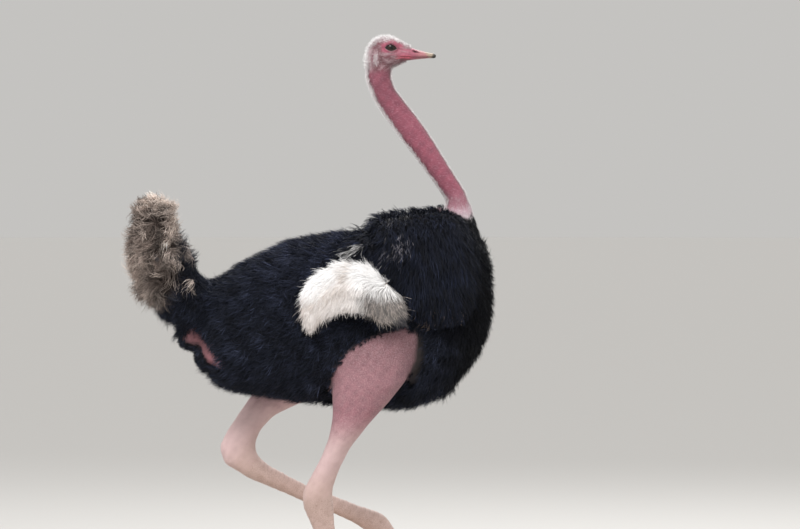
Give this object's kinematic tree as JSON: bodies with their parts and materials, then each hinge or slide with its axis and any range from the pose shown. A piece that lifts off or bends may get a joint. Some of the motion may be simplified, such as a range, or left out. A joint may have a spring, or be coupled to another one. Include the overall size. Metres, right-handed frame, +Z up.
{
  "type": "ostrich",
  "caption": "Life-size still model of an adult male ostrich walking, neck drawn back and tail plumes raised, on a flat display base.",
  "frame": {"origin": "centre of the underside of the display base, on the floor", "axes": "+X is the way the bird walks, +Y its left side, +Z up; the base's underside faces -Z"},
  "size_m": [1.1698, 0.5614, 1.943],
  "materials": {
    "neck_skin": "bare pink-red skin under short white fuzz",
    "leg_skin": "bare pink skin with raised follicles",
    "shank_skin": "pale scaled skin, satin",
    "callus": "dry horny callus, matte",
    "bill_horn": "smooth horn, satin",
    "claw_horn": "worn dark horn",
    "eye": "wet, glossy",
    "black_feather": "soft loose feathers, slight sheen",
    "white_feather": "soft loose plumes, matte",
    "brown_feather": "soft curled plumes, dusty",
    "plate": "painted, satin"
  },
  "bodies": {
    "root": {"head": "neck_skin", "bill_upper": "bill_horn", "bill_lower": "bill_horn", "eye_right": "eye", "eye_left": "eye", "neck_upper": "neck_skin", "neck_middle": "neck_skin", "neck_lower": "neck_skin", "trunk": "black_feather", "breast_pad": "callus", "vent": "neck_skin", "tail_base": "black_feather", "tail": "brown_feather", "wing_right": "black_feather", "wing_plumes_right": "white_feather", "wing_left": "black_feather", "wing_plumes_left": "white_feather", "drumstick_right": "leg_skin", "shank_right": "shank_skin", "toe_long_right": "shank_skin", "toe_short_right": "shank_skin", "claw_right": "claw_horn", "drumstick_left": "leg_skin", "shank_left": "shank_skin", "toe_long_left": "shank_skin", "toe_short_left": "shank_skin", "claw_left": "claw_horn", "stand_base": "plate"}
  },
  "joints": []
}
